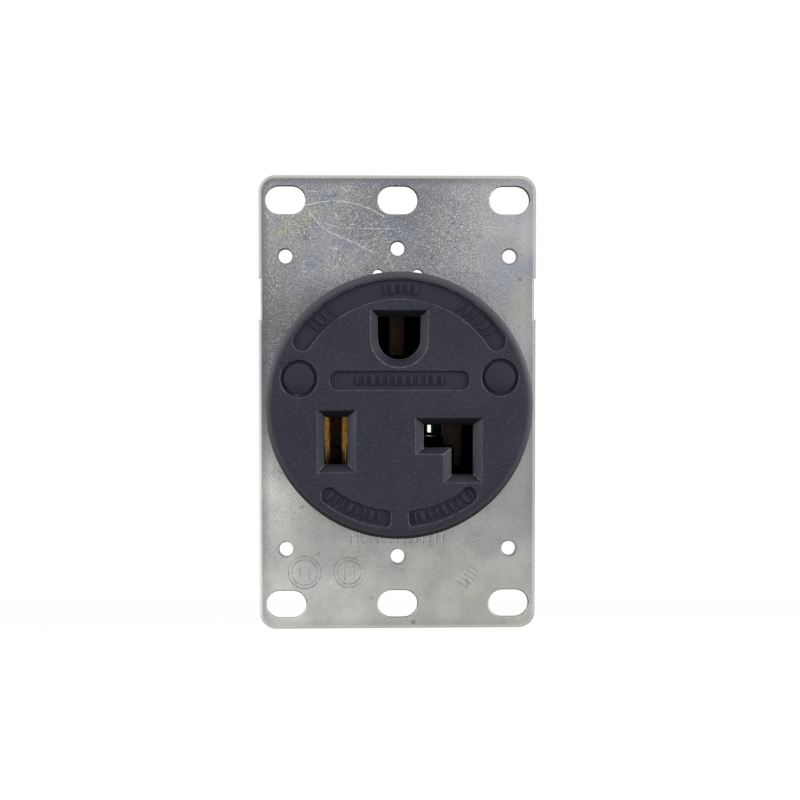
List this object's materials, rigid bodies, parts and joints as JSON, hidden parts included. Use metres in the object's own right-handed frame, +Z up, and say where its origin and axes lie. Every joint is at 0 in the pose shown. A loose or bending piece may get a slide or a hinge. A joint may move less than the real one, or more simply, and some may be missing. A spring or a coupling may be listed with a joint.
{
  "type": "straight blade receptacle",
  "caption": "Round-faced power receptacle on a steel mounting strap, with a straight, an L-shaped and a half-round slot and rear wire clamps.",
  "frame": {"origin": "centre of the pattern of box slots, on the strap's rear face, which bears on the wall box", "axes": "+Z up along the strap, +X to the right seen from the room, +Y into the wall box"},
  "size_m": [0.057, 0.0398, 0.0936],
  "materials": {
    "moulded_face": "moulded, fine matt grain",
    "moulded_base": "moulded thermoset, low sheen",
    "galvanised_steel": "zinc coated, mottled",
    "brass": "rolled strip",
    "spring_steel": "hardened strip",
    "tinned_aluminium": "tin plated",
    "brass_screw": "turned",
    "nickel_screw": "nickel plated",
    "green_screw": "green lacquer on steel",
    "zinc_screw": "bright zinc plated"
  },
  "bodies": {
    "root": {"face_cover": "moulded_face", "mounting_strap": "galvanised_steel", "terminal_base": "moulded_base", "line_contact": "brass", "neutral_contact": "brass", "ground_contact": "brass", "line_contact_spring": "spring_steel", "neutral_contact_spring": "spring_steel", "ground_contact_spring": "spring_steel", "line_wire_lug": "tinned_aluminium", "neutral_wire_lug": "tinned_aluminium", "ground_wire_lug": "tinned_aluminium", "line_pressure_plate": "spring_steel", "neutral_pressure_plate": "spring_steel", "ground_pressure_plate": "spring_steel", "line_terminal_screw": "brass_screw", "neutral_terminal_screw": "nickel_screw", "ground_terminal_screw": "green_screw", "bonding_clip": "brass", "bonding_rivet": "brass", "assembly_screws": "zinc_screw", "face_inserts": "brass"}
  },
  "joints": []
}
